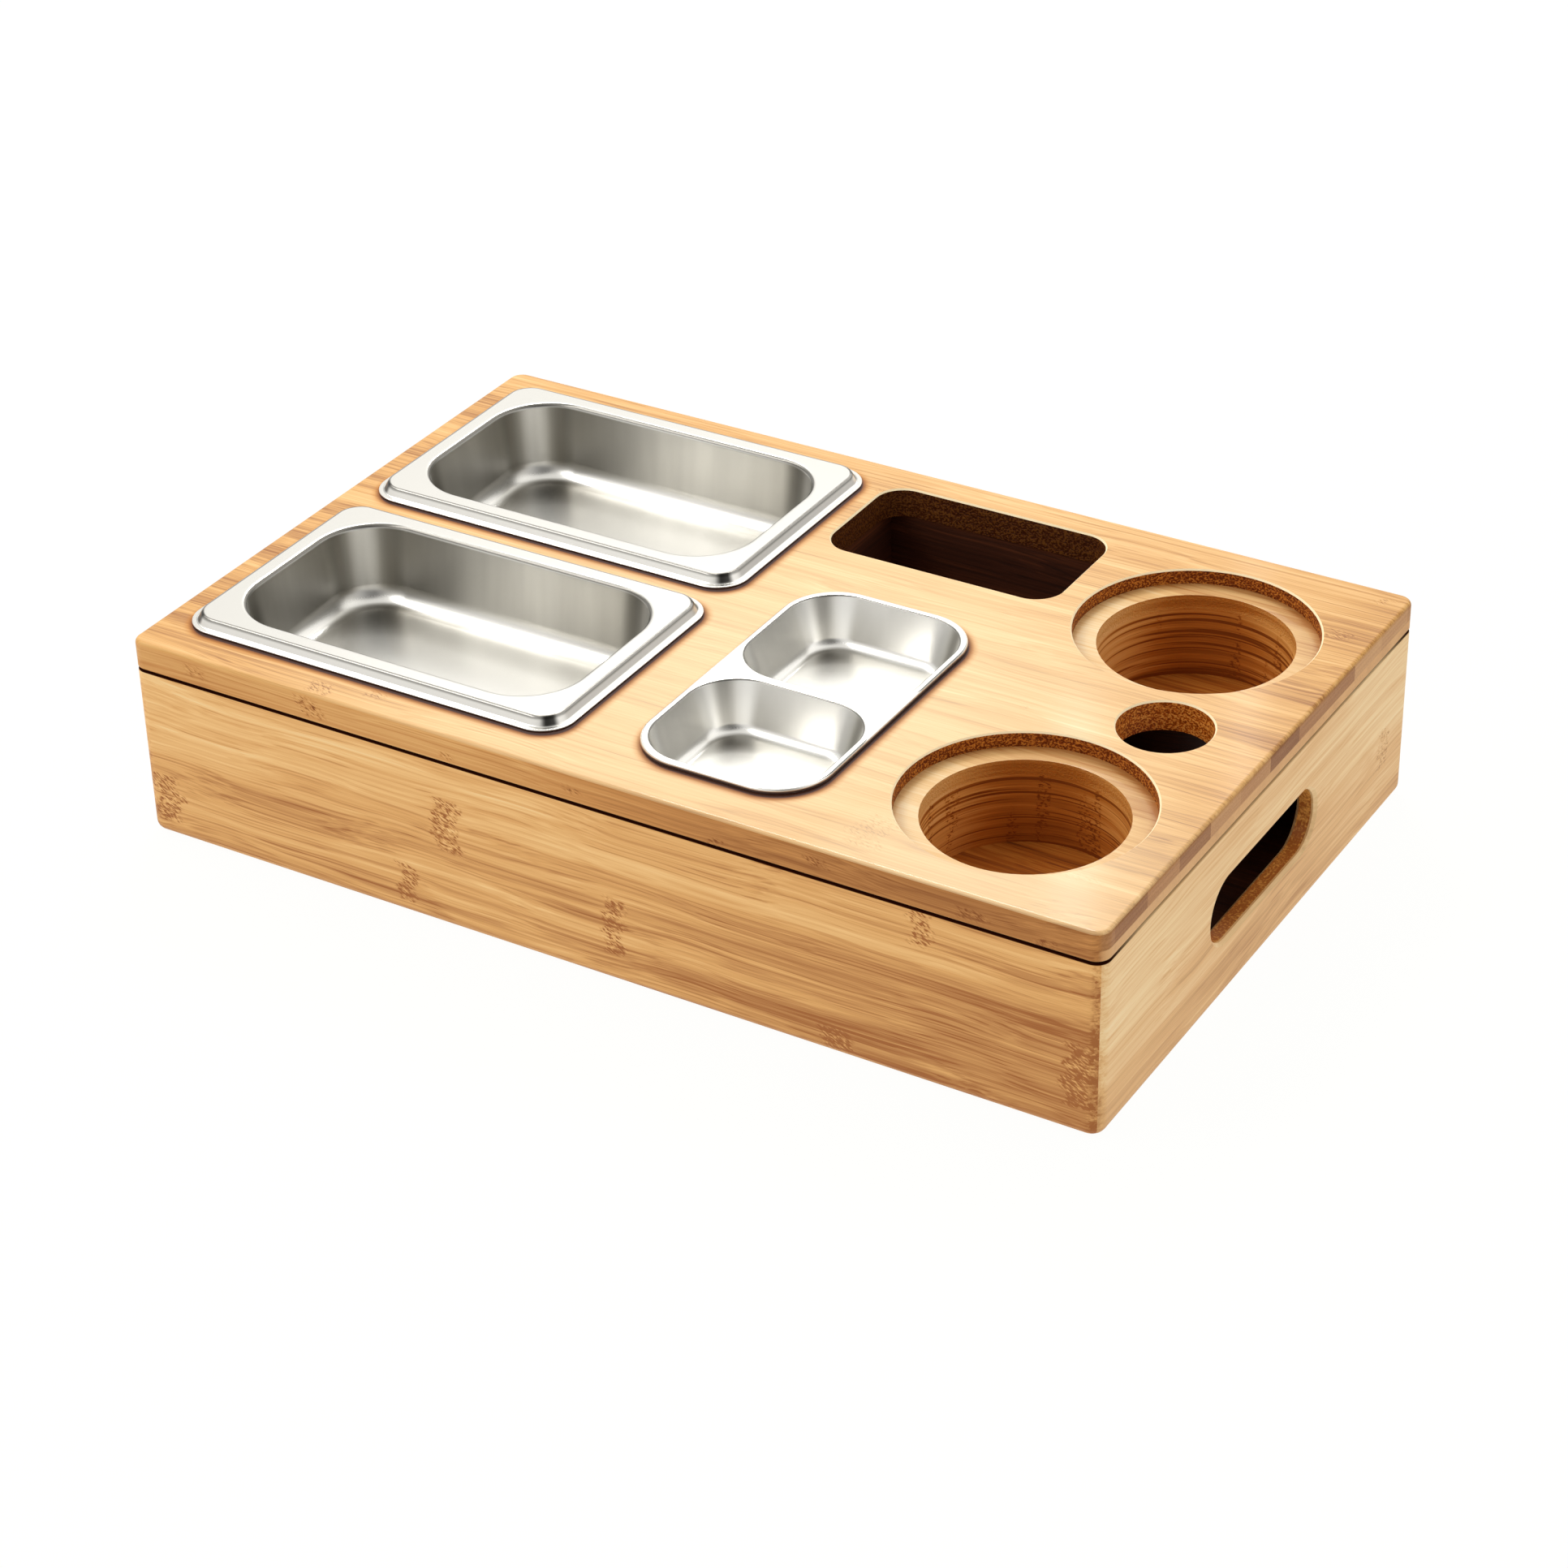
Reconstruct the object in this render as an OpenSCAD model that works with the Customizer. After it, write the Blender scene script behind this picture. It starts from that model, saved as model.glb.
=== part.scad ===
// Sofa tray organizer: a bamboo box under a lid board that carries two steel pans, a steel twin dish,
// a deep pocket with a long mouth, two stepped cup wells and one round hole.
// The origin is on the ground under the middle of the box. X runs along the box, the front faces -Y.

/* [Tray] */
// Length of the box and of its lid
tray_w = 400; // [390:1:460]
// Depth of the box and of its lid, front to back
tray_d = 255; // [250:1:300]

/* [Box] */
// Height of the box without its lid
box_h = 70.5; // [64:0.5:100]
// Thickness of the four side panels
panel_t = 8; // [6:0.5:9]
// Radius of the box's upright corners
box_corner_r = 5.5; // [4.5:0.5:6]
// Round along the foot of the box
foot_round = 4; // [1:0.5:4]
// Eased edge along the top of the box
rim_ease = 1; // [0.4:0.1:1.5]
// Thickness of the bottom board
bottom_t = 4; // [3:0.5:6]
// Height of the bottom board above the ground
bottom_lift = 6; // [4:0.5:10]
// How far the bottom board enters the panels
groove_depth = 4; // [2:0.5:5]
// Clearance round the bottom board in its grooves
groove_clear = 0.15; // [0.05:0.05:0.3]
// Leg of the triangular glue blocks in the corners
block_leg = 16; // [10:1:18]

/* [Handle slots] */
// Length of a handle slot
handle_l = 87; // [75:1:110]
// Height of a handle slot
handle_h = 26; // [20:1:30]
// Height of the slots' middle above the ground
handle_z = 37; // [32:0.5:42]
// Eased edge round a handle slot
handle_ease = 1.2; // [0.5:0.1:2]

/* [Lid] */
// Thickness of the lid board
lid_t = 12; // [10:0.5:16]
// Radius of the lid's corners, seen from above
lid_corner_r = 5.5; // [4:0.5:14]
// Round along the lid's top edge
lid_round = 1.8; // [0.8:0.1:3]
// Eased edge along the lid's underside
lid_ease = 1; // [0.4:0.1:1.5]
// Eased edge round the openings in the lid
cut_ease = 0.6; // [0.3:0.1:1]

/* [Lid strips] */
// Width of the strips that locate the lid
strip_w = 7; // [5:0.5:8]
// Height of the strips
strip_h = 8; // [6:0.5:12]
// Clearance between the strips and the panels
strip_clear = 0.5; // [0.3:0.1:1]
// Clearance between the ends of the strips and what they stop at
strip_end_clear = 3; // [1:0.5:6]

/* [Cup wells] */
// Distance from the wells' centres to the lid's right, front and back edges
cup_inset = 60.5; // [58:0.5:63]
// Gap between the pocket's slot and the wells' recesses
cup_gap = 10.4; // [6:0.1:16]
// Radius of the wide recess at the top of a well
recess_r = 45.5; // [42:0.5:47]
// Depth of the wide recess
recess_depth = 6; // [3:0.5:8]
// Radius of a well
cup_r = 36.5; // [32:0.5:37.5]
// Depth of a well's floor below the lid's top
cup_depth = 40; // [30:1:50]
// Wall of the turned sleeve under the lid
sleeve_t = 6; // [4:0.5:7.5]
// Thickness of a well's floor disc
cup_floor_t = 5; // [3:0.5:8]
// Step in the sleeve's foot that the floor disc sits in
cup_floor_step = 3; // [1.5:0.5:3.5]

/* [Round hole] */
// Radius of the round hole
hole_r = 17.5; // [12:0.5:20]
// Distance from the hole's centre to the lid's right edge
hole_inset = 40.5; // [37:0.5:44]

/* [Steel pans] */
// Distance from the pans' lips to the lid's left edge
pan_inset = 9.6; // [8:0.2:15]
// Distance from the front pan's lip to the lid's front edge
pan_front_inset = 16.75; // [14:0.25:24]
// Distance from the rear pan's lip to the lid's back edge
pan_back_inset = 11.75; // [10:0.25:18]
// Gap between the lips of the two pans
pan_gap = 9.3; // [6:0.1:14]
// Width of the flange, from the lip's edge to the opening
pan_flange = 11.4; // [10:0.1:14]
// Radius of the opening's corners
pan_corner_r = 24; // [18:0.5:30]
// Radius of the lip's corners
pan_lip_r = 13; // [10:0.5:16]
// Height of the flange above the lid
flange_h = 4.1; // [3:0.1:6]
// Depth of a pan's floor below the lid's top
pan_depth = 27; // [22:1:45]
// How far a pan's walls lean in, from the opening to the floor
pan_lean = 3.5; // [1:0.5:6]
// Bend between a pan's walls and its floor
pan_floor_bend = 6; // [4:0.5:12]
// Bend between a pan's walls and its flange
pan_brim_bend = 2; // [1.4:0.2:3]
// Width of the flat lip that lies on the lid
lip_w = 2.1; // [1.4:0.1:2.5]
// How far the shoulder between lip and flange reaches in
shoulder_run = 1.9; // [1.5:0.1:3]
// Bends at the top and the foot of the shoulder
shoulder_bend = 1.1; // [0.9:0.1:1.2]
// Thickness of the pans' steel
pan_sheet = 0.8; // [0.5:0.1:0.8]

/* [Twin dish] */
// Width of the dish over its rim
dish_w = 74.2; // [68:0.2:86]
// Gap between the pans and the dish
dish_gap = 23.5; // [16:0.1:30]
// Distance from the dish to the lid's front edge
dish_inset = 20.3; // [18:0.1:24]
// Gap between the dish and the pocket's slot behind it
dish_slot_gap = 29.4; // [20:0.1:40]
// Width of the rim along the dish's long sides
dish_rim_side = 2.6; // [2.5:0.1:6]
// Width of the rim at the dish's ends
dish_rim_end = 2.9; // [2.5:0.1:6]
// Width of the bridge between the compartments
dish_bridge = 4.4; // [3:0.1:12]
// How far the bridge sits in front of the dish's middle
bridge_shift = 3; // [0:0.5:6]
// Radius of the rim's corners
dish_rim_r = 21.5; // [20.5:0.5:24]
// Radius of the compartments' corners
dish_corner_r = 19.5; // [17:0.5:20.5]
// Height of the rim above the lid
rim_h = 1.9; // [1.6:0.1:3]
// Depth of the dish's floors below the lid's top
dish_depth = 16.5; // [12:0.5:26]
// How far the walls of a compartment lean in
dish_lean = 6.5; // [3:0.5:8]
// Bend between a compartment's walls and its floor
dish_floor_bend = 5; // [3:0.5:8]
// Bends at the compartments' brims and along the rim's edge
dish_brim_bend = 0.9; // [0.8:0.1:1]
// Thickness of the dish's steel
dish_sheet = 0.6; // [0.5:0.1:0.7]

/* [Pocket] */
// Length of the slot
slot_w = 98; // [80:0.5:100]
// Width of the slot, front to back
slot_d = 55.5; // [40:0.5:70]
// Radius of the slot's corners
slot_corner_r = 11.5; // [6:0.5:18]
// Gap between the pans and the slot
slot_gap = 9; // [6:0.5:14]
// Distance from the slot to the lid's back edge
slot_inset = 14; // [13.5:0.5:24]
// Depth of the pocket's floor below the lid's top
pocket_depth = 40; // [30:1:50]
// Thickness of the pocket's walls
pocket_t = 4; // [3:0.5:5]
// How far the pocket's walls stand back from the slot's edge
pocket_margin = 0.5; // [0:0.1:1]
// Thickness of the pocket's floor
pocket_floor_t = 4; // [3:0.5:6]

/* [Fits and fasteners] */
// Clearance between a steel bowl and its cut-out in the lid
pan_clear = 2.7; // [1.5:0.1:3.5]
// Clearance between the dish's bowls and their cut-out in the lid
dish_clear = 0.9; // [0.6:0.1:1.2]
// Radius of a wood screw's shank
screw_r = 1.4; // [1:0.1:1.6]
// Radius of a wood screw's head
screw_head_r = 2.5; // [2:0.1:2.5]
// Length of a wood screw
screw_l = 14; // [12:0.5:17]
// Clearance round a wood screw
screw_clear = 0.05; // [0:0.01:0.15]
// Distance from a strip's end to its first screw
screw_inset = 14; // [8:1:20]
// Largest distance between the screws of one strip
screw_pitch = 115; // [80:5:160]

/* [Hidden] */
$fn = 96;

// Colours
bamboo = [0.87, 0.67, 0.42];
bamboo_end = [0.80, 0.58, 0.36];
bamboo_dark = [0.62, 0.38, 0.18];
steel = [0.78, 0.78, 0.77];
zinc = [0.68, 0.68, 0.66];

// How far a cut runs past the face that it opens
overrun = 1;
// Straight steps in the arc of an eased edge and in a bend of the steel
arc_steps = 6;
bend_steps = 8;
// How far the flats of two pressed sections lie in each other where they join
flat_lap = 0.3;

// Heights in the assembled tray
lid_top = box_h + lid_t;
bottom_top = bottom_lift + bottom_t;

// Inside of the box, and the glue blocks' height above the bottom board
inner_w = tray_w - 2 * panel_t;
inner_d = tray_d - 2 * panel_t;
block_h = box_h - rim_ease - bottom_top - groove_clear;

// Cup wells and round hole
cup_x = tray_w / 2 - cup_inset;
cup_ys = [-tray_d / 2 + cup_inset, tray_d / 2 - cup_inset];
sleeve_r = cup_r + sleeve_t;
cup_floor_z = lid_top - cup_depth;
sleeve_foot_z = cup_floor_z - cup_floor_t;
hole_x = tray_w / 2 - hole_inset;

// Pans: they fill what the slot and the wells leave of the lid, over their lips. Places of their
// centres, openings, and cut-outs in the lid
pan_right = cup_x - recess_r - cup_gap - slot_w - slot_gap;
pan_w = tray_w / 2 + pan_right - pan_inset;
pan_d = (tray_d - pan_front_inset - pan_back_inset - pan_gap) / 2;
pan_x = pan_right - pan_w / 2;
pan_ys = [-tray_d / 2 + pan_front_inset + pan_d / 2, tray_d / 2 - pan_back_inset - pan_d / 2];
pan_opening = [pan_w - 2 * pan_flange, pan_d - 2 * pan_flange];
pan_cut_grow = pan_sheet + pan_clear;
pan_cut = [pan_opening[0] + 2 * pan_cut_grow, pan_opening[1] + 2 * pan_cut_grow];

// Twin dish: its length from the lid's front edge to the slot, the place of its centre, compartments
// with the radius that the shorter one leaves room for, and cut-out in the lid
dish_d = tray_d - dish_inset - dish_slot_gap - slot_d - slot_inset;
dish_x = pan_right + dish_gap + dish_w / 2;
dish_y = -tray_d / 2 + dish_inset + dish_d / 2;
compartment_w = dish_w - 2 * dish_rim_side;
compartment_ds = [for (side = [-1, 1]) (dish_d - dish_bridge) / 2 - dish_rim_end + side * bridge_shift];
compartment_ys = [for (i = [0, 1]) (2 * i - 1) * (compartment_ds[i] + dish_bridge) / 2 - bridge_shift];
dish_bowl_r = min(dish_corner_r, min(compartment_ds) / 2 - flat_lap);
dish_cut_grow = dish_sheet + dish_clear;
dish_cut = [compartment_w + 2 * dish_cut_grow, dish_d - 2 * dish_rim_end + 2 * dish_cut_grow];
dish_cut_r = dish_bowl_r + dish_cut_grow;

// Slot and pocket
slot_x = pan_right + slot_gap + slot_w / 2;
slot_y = tray_d / 2 - slot_inset - slot_d / 2;
pocket_in = [slot_w + 2 * pocket_margin, slot_d + 2 * pocket_margin];
pocket_out = [pocket_in[0] + 2 * pocket_t, pocket_in[1] + 2 * pocket_t];
pocket_floor_z = lid_top - pocket_depth;
pocket_wall_h = box_h - pocket_floor_z;

// Lid strips: the lines that they follow inside the panels, and where they start and end
strip_x = inner_w / 2 - strip_clear - strip_w / 2;
strip_y = inner_d / 2 - strip_clear - strip_w / 2;
strip_end_x = inner_w / 2 - block_leg - strip_end_clear;
strip_end_y = inner_d / 2 - block_leg - strip_end_clear;
strip_pocket_left = slot_x - pocket_out[0] / 2 - strip_end_clear;
strip_pocket_right = slot_x + pocket_out[0] / 2 + strip_end_clear;
screw_head_h = screw_head_r - screw_r;
screw_tip_h = 2 * screw_r;

// Points of an arc about c, from angle a to angle b
function arc(c, r, a, b) = [for (i = [0:arc_steps]) let (t = a + (b - a) * i / arc_steps)
    c + r * [cos(t), sin(t)]];

function unit(v) = v / norm(v);
function left_of(v) = [-v[1], v[0]];
function turned(v, a) = [v[0] * cos(a) - v[1] * sin(a), v[0] * sin(a) + v[1] * cos(a)];
function turn_angle(v, w) = atan2(v[0] * w[1] - v[1] * w[0], v * w);
function reversed(list) = [for (i = [len(list) - 1:-1:0]) list[i]];

// One bend of a steel sheet at q, between p and r, drawn at distance s to the left of the path
function bend(p, q, r, radius, s) =
    let (in_dir = unit(q - p), out_dir = unit(r - q), a = turn_angle(in_dir, out_dir),
         side = sign(a) * radius,
         centre = q - in_dir * radius * tan(abs(a) / 2) + side * left_of(in_dir))
    [for (i = [0:bend_steps]) centre - (side - s) * turned(left_of(in_dir), a * i / bend_steps)];

// One face of a bent sheet: its path with the bends put in, moved s to the left
function sheet_face(path, bends, s) = [for (i = [0:len(path) - 1]) each
    i == 0 ? [path[i] + s * left_of(unit(path[i + 1] - path[i]))] :
    i == len(path) - 1 ? [path[i] + s * left_of(unit(path[i] - path[i - 1]))] :
    bend(path[i - 1], path[i], path[i + 1], bends[i - 1], s)];

// Section of a bent sheet whose upper face follows the path
module sheet_section(path, bends, t) {
    polygon(concat(sheet_face(path, bends, 0), reversed(sheet_face(path, bends, -t))));
}

// Rectangle with round corners
module round_rect(size, r) {
    square([size[0] - 2 * r, size[1]], center = true);
    square([size[0], size[1] - 2 * r], center = true);
    for (x = [-1, 1], y = [-1, 1])
        translate([x * (size[0] / 2 - r), y * (size[1] / 2 - r)]) circle(r);
}

// Plate with round corners, standing on z
module round_plate(size, r, z, h) {
    translate([0, 0, z]) linear_extrude(h) round_rect(size, r);
}

// A section carried round a rectangle with round corners. The section's x counts outwards from the
// line through the corners' centres, so x = r lies on the outline.
module carried_round(size, r) {
    half = [size[0] / 2 - r, size[1] / 2 - r];
    for (k = [0:3]) {
        rotate([0, 0, 90 * k]) translate([half[k % 2], 0, 0])
            rotate([90, 0, 0]) linear_extrude(2 * half[(k + 1) % 2], center = true) children();
        rotate([0, 0, 90 * k]) translate([half[k % 2], half[(k + 1) % 2], 0])
            rotate_extrude(angle = 90) children();
    }
}

// Pressed bowl: floor, walls that lean, and the brim that turns out into a flange
module bowl(opening, corner_r, top, floor_z, lean, floor_bend, brim_bend, sheet) {
    land = brim_bend + flat_lap;
    translate([0, 0, floor_z - sheet / 2])
        cube([opening[0] - 2 * corner_r, opening[1] - 2 * corner_r, sheet], center = true);
    carried_round(opening, corner_r)
        sheet_section([[0, floor_z], [corner_r - lean, floor_z], [corner_r, top], [corner_r + land, top]],
                      [floor_bend, brim_bend], sheet);
}

// Mouth in a flange where a bowl's brim starts
module brim_mouth(opening, corner_r, brim_bend, top, sheet) {
    round_plate([opening[0] + 2 * brim_bend, opening[1] + 2 * brim_bend], corner_r + brim_bend,
                top - sheet - overrun, sheet + 2 * overrun);
}

// Cross-section of a side panel: x goes in from the outer face, y goes up
module panel_section() {
    polygon([[0, -overrun], [panel_t, -overrun],
             [panel_t, bottom_lift - groove_clear],
             [panel_t - groove_depth - groove_clear, bottom_lift - groove_clear],
             [panel_t - groove_depth - groove_clear, bottom_top + groove_clear],
             [panel_t, bottom_top + groove_clear],
             [panel_t, box_h - rim_ease],
             [panel_t - rim_ease, box_h],
             [panel_t - rim_ease, box_h + overrun],
             [0, box_h + overrun]]);
}

// Side panel of the given length, outer face on y = 0, mitred at both ends
module mitred_panel(length) {
    intersection() {
        rotate([90, 0, 90]) linear_extrude(length, center = true) panel_section();
        translate([0, 0, -2 * overrun]) linear_extrude(box_h + 4 * overrun)
            polygon([[-length / 2, 0], [length / 2, 0],
                     [length / 2 - panel_t, panel_t], [-length / 2 + panel_t, panel_t]]);
    }
}

// Section of the box's outside, from the corners' centres out, with its round foot and eased top
module box_edge_section() {
    polygon(concat([[0, 0]],
                   arc([box_corner_r - foot_round, foot_round], foot_round, 270, 360),
                   arc([box_corner_r - rim_ease, box_h - rim_ease], rim_ease, 0, 90),
                   [[0, box_h]]));
}

// Keeps of a panel what lies inside the box's outside, with its round corners
module corner_round() {
    intersection() {
        children();
        union() {
            translate([0, 0, box_h / 2])
                cube([tray_w - 2 * box_corner_r, tray_d - 2 * box_corner_r, box_h], center = true);
            carried_round([tray_w, tray_d], box_corner_r) box_edge_section();
        }
    }
}

// Long hole with round ends along x, cut from y = 0 towards +y; its half height goes from r1 to r2
module long_hole(length, height, r1, r2, depth) {
    straight = length / 2 - height / 2;
    rotate([-90, 0, 0]) for (x = [-1, 1]) translate([x * straight, 0, 0]) cylinder(depth, r1, r2);
    rotate([90, 0, 90]) linear_extrude(2 * straight, center = true)
        polygon([[0, -r1], [depth, -r2], [depth, r2], [0, r1]]);
}

// End panel with its handle slot, outer face on y = 0
module end_panel() {
    difference() {
        mitred_panel(tray_d);
        translate([0, 0, handle_z]) {
            translate([0, -overrun, 0])
                long_hole(handle_l, handle_h, handle_h / 2, handle_h / 2, panel_t + 2 * overrun);
            long_hole(handle_l, handle_h, handle_h / 2 + handle_ease, handle_h / 2, handle_ease);
            translate([0, panel_t - handle_ease, 0])
                long_hole(handle_l, handle_h, handle_h / 2, handle_h / 2 + handle_ease, handle_ease);
        }
    }
}

module front_panel() {
    color(bamboo) corner_round() translate([0, -tray_d / 2, 0]) mitred_panel(tray_w);
}

module back_panel() {
    color(bamboo) corner_round() translate([0, tray_d / 2, 0]) rotate([0, 0, 180]) mitred_panel(tray_w);
}

module left_end_panel() {
    color(bamboo_end) corner_round() translate([-tray_w / 2, 0, 0]) rotate([0, 0, -90]) end_panel();
}

module right_end_panel() {
    color(bamboo_end) corner_round() translate([tray_w / 2, 0, 0]) rotate([0, 0, 90]) end_panel();
}

module bottom_board() {
    color(bamboo) translate([-inner_w / 2 - groove_depth, -inner_d / 2 - groove_depth, bottom_lift])
        cube([inner_w + 2 * groove_depth, inner_d + 2 * groove_depth, bottom_t]);
}

// Glue block in the corner given by two signs
module corner_block(x, y) {
    color(bamboo_end) translate([x * inner_w / 2, y * inner_d / 2, bottom_top])
        linear_extrude(block_h) polygon([[0, 0], [-x * block_leg, 0], [0, -y * block_leg]]);
}

module corner_block_front_left() { corner_block(-1, -1); }
module corner_block_front_right() { corner_block(1, -1); }
module corner_block_back_left() { corner_block(-1, 1); }
module corner_block_back_right() { corner_block(1, 1); }

// Section of the lid's edge, from the corners' centres out to its rounded rim
module lid_edge_section() {
    polygon(concat([[0, 0], [lid_corner_r - lid_ease, 0]],
                   [[lid_corner_r, lid_ease]],
                   arc([lid_corner_r - lid_round, lid_t - lid_round], lid_round, 0, 90),
                   [[0, lid_t]]));
}

module lid_blank() {
    translate([0, 0, box_h]) {
        translate([0, 0, lid_t / 2])
            cube([tray_w - 2 * lid_corner_r, tray_d - 2 * lid_corner_r, lid_t], center = true);
        carried_round([tray_w, tray_d], lid_corner_r) lid_edge_section();
    }
}

// Round hole of radius r through the lid's top, eased at its mouth, down to z
module eased_hole(r, z) {
    translate([0, 0, z]) cylinder(lid_top - z + overrun, r, r);
    translate([0, 0, lid_top - cut_ease]) cylinder(cut_ease + overrun, r, r + cut_ease + overrun);
}

// Mouth of the pocket's slot, eased along its top edge
module slot_cut() {
    round_plate([slot_w, slot_d], slot_corner_r, box_h - overrun, lid_t + 2 * overrun);
    translate([0, 0, lid_top]) carried_round([slot_w, slot_d], slot_corner_r)
        polygon([[slot_corner_r - cut_ease, -cut_ease], [slot_corner_r, -cut_ease],
                 [slot_corner_r + cut_ease, 0], [slot_corner_r + cut_ease, overrun],
                 [slot_corner_r - cut_ease, overrun]]);
}

module lid_board() {
    color(bamboo) difference() {
        lid_blank();
        for (y = pan_ys) translate([pan_x, y, 0])
            round_plate(pan_cut, pan_corner_r + pan_cut_grow, box_h - overrun, lid_t + 2 * overrun);
        translate([dish_x, dish_y, 0]) round_plate(dish_cut, dish_cut_r, box_h - overrun, lid_t + 2 * overrun);
        translate([slot_x, slot_y, 0]) slot_cut();
        for (y = cup_ys) translate([cup_x, y, 0]) {
            eased_hole(recess_r, lid_top - recess_depth);
            translate([0, 0, box_h - overrun]) cylinder(lid_t, cup_r, cup_r);
        }
        translate([hole_x, 0, 0]) eased_hole(hole_r, box_h - overrun);
        at_screws() translate([0, 0, box_h - overrun])
            cylinder(screw_l - strip_h + screw_clear + overrun, screw_r + screw_clear, screw_r + screw_clear);
    }
}

// Turned wall of a cup well, from the lid's underside to the foot of its floor disc
module cup_sleeve(y) {
    color(bamboo_dark) translate([cup_x, y, sleeve_foot_z]) difference() {
        cylinder(box_h - sleeve_foot_z, sleeve_r, sleeve_r);
        translate([0, 0, -overrun]) cylinder(box_h - sleeve_foot_z + 2 * overrun, cup_r, cup_r);
        translate([0, 0, -overrun])
            cylinder(cup_floor_t + overrun, cup_r + cup_floor_step, cup_r + cup_floor_step);
    }
}

module cup_floor(y) {
    color(bamboo_dark) translate([cup_x, y, sleeve_foot_z])
        cylinder(cup_floor_t, cup_r + cup_floor_step - groove_clear, cup_r + cup_floor_step - groove_clear);
}

module front_cup_sleeve() { cup_sleeve(cup_ys[0]); }
module rear_cup_sleeve() { cup_sleeve(cup_ys[1]); }
module front_cup_floor() { cup_floor(cup_ys[0]); }
module rear_cup_floor() { cup_floor(cup_ys[1]); }

// Long wall of the pocket, in front of the slot or behind it
module pocket_long_wall(side) {
    color(bamboo_dark)
        translate([slot_x, slot_y + side * (pocket_in[1] + pocket_t) / 2, pocket_floor_z + pocket_wall_h / 2])
            cube([pocket_out[0], pocket_t, pocket_wall_h], center = true);
}

// Short wall of the pocket, between the two long ones
module pocket_short_wall(side) {
    color(bamboo_dark)
        translate([slot_x + side * (pocket_in[0] + pocket_t) / 2, slot_y, pocket_floor_z + pocket_wall_h / 2])
            cube([pocket_t, pocket_in[1], pocket_wall_h], center = true);
}

module pocket_front_wall() { pocket_long_wall(-1); }
module pocket_back_wall() { pocket_long_wall(1); }
module pocket_left_wall() { pocket_short_wall(-1); }
module pocket_right_wall() { pocket_short_wall(1); }

module pocket_floor() {
    color(bamboo_dark) translate([slot_x, slot_y, pocket_floor_z - pocket_floor_t / 2])
        cube([pocket_out[0], pocket_out[1], pocket_floor_t], center = true);
}

// Places of the screws along a strip from a to b
function screw_places(a, b) =
    let (run = b - a - 2 * screw_inset, gaps = ceil(run / screw_pitch))
    [for (i = [0:gaps]) a + screw_inset + run * i / gaps];

// The child at each screw of every strip
module at_screws() {
    for (x = screw_places(-strip_end_x, strip_end_x)) translate([x, -strip_y, 0]) children();
    for (x = screw_places(-strip_end_x, strip_pocket_left)) translate([x, strip_y, 0]) children();
    for (x = screw_places(strip_pocket_right, strip_end_x)) translate([x, strip_y, 0]) children();
    for (x = [-strip_x, strip_x], y = screw_places(-strip_end_y, strip_end_y))
        translate([x, y, 0]) children();
}

// Strip under the lid from one corner of its plan to the other, with the holes of its screws
module strip(low, high) {
    color(bamboo_end) difference() {
        translate([low[0], low[1], box_h - strip_h]) cube([high[0] - low[0], high[1] - low[1], strip_h]);
        at_screws() translate([0, 0, box_h - strip_h]) {
            translate([0, 0, -overrun])
                cylinder(strip_h + 2 * overrun, screw_r + screw_clear, screw_r + screw_clear);
            cylinder(screw_head_h, screw_head_r + screw_clear, screw_r + screw_clear);
        }
    }
}

module front_cleat() { strip([-strip_end_x, -strip_y - strip_w / 2], [strip_end_x, -strip_y + strip_w / 2]); }
module back_left_cleat() {
    strip([-strip_end_x, strip_y - strip_w / 2], [strip_pocket_left, strip_y + strip_w / 2]);
}
module back_right_cleat() {
    strip([strip_pocket_right, strip_y - strip_w / 2], [strip_end_x, strip_y + strip_w / 2]);
}
module left_cleat() { strip([-strip_x - strip_w / 2, -strip_end_y], [-strip_x + strip_w / 2, strip_end_y]); }
module right_cleat() { strip([strip_x - strip_w / 2, -strip_end_y], [strip_x + strip_w / 2, strip_end_y]); }

// Countersunk wood screws, driven up through the strips into the lid
module cleat_screws() {
    color(zinc) at_screws() translate([0, 0, box_h - strip_h]) rotate_extrude()
        polygon([[0, 0], [screw_head_r, 0], [screw_r, screw_head_h],
                 [screw_r, screw_l - screw_tip_h], [0, screw_l]]);
}

// Flange of a pan: flat plate, then the shoulder that steps down to the lip on the lid
module pan_flange_ring() {
    plate_inset = lip_w + shoulder_run + 2 * shoulder_bend;
    difference() {
        round_plate([pan_w - 2 * plate_inset, pan_d - 2 * plate_inset], pan_lip_r - plate_inset,
                    flange_h - pan_sheet, pan_sheet);
        brim_mouth(pan_opening, pan_corner_r, pan_brim_bend, flange_h, pan_sheet);
    }
    carried_round([pan_w, pan_d], pan_lip_r)
        sheet_section([[pan_lip_r - plate_inset - flat_lap, flange_h],
                       [pan_lip_r - lip_w - shoulder_run, flange_h],
                       [pan_lip_r - lip_w, pan_sheet], [pan_lip_r, pan_sheet]],
                      [shoulder_bend, shoulder_bend], pan_sheet);
}

// Pressed pan whose lip lies on the lid
module pan(y) {
    color(steel) translate([pan_x, y, lid_top]) {
        bowl(pan_opening, pan_corner_r, flange_h, -pan_depth, pan_lean, pan_floor_bend, pan_brim_bend,
             pan_sheet);
        pan_flange_ring();
    }
}

module front_pan() { pan(pan_ys[0]); }
module rear_pan() { pan(pan_ys[1]); }

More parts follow.
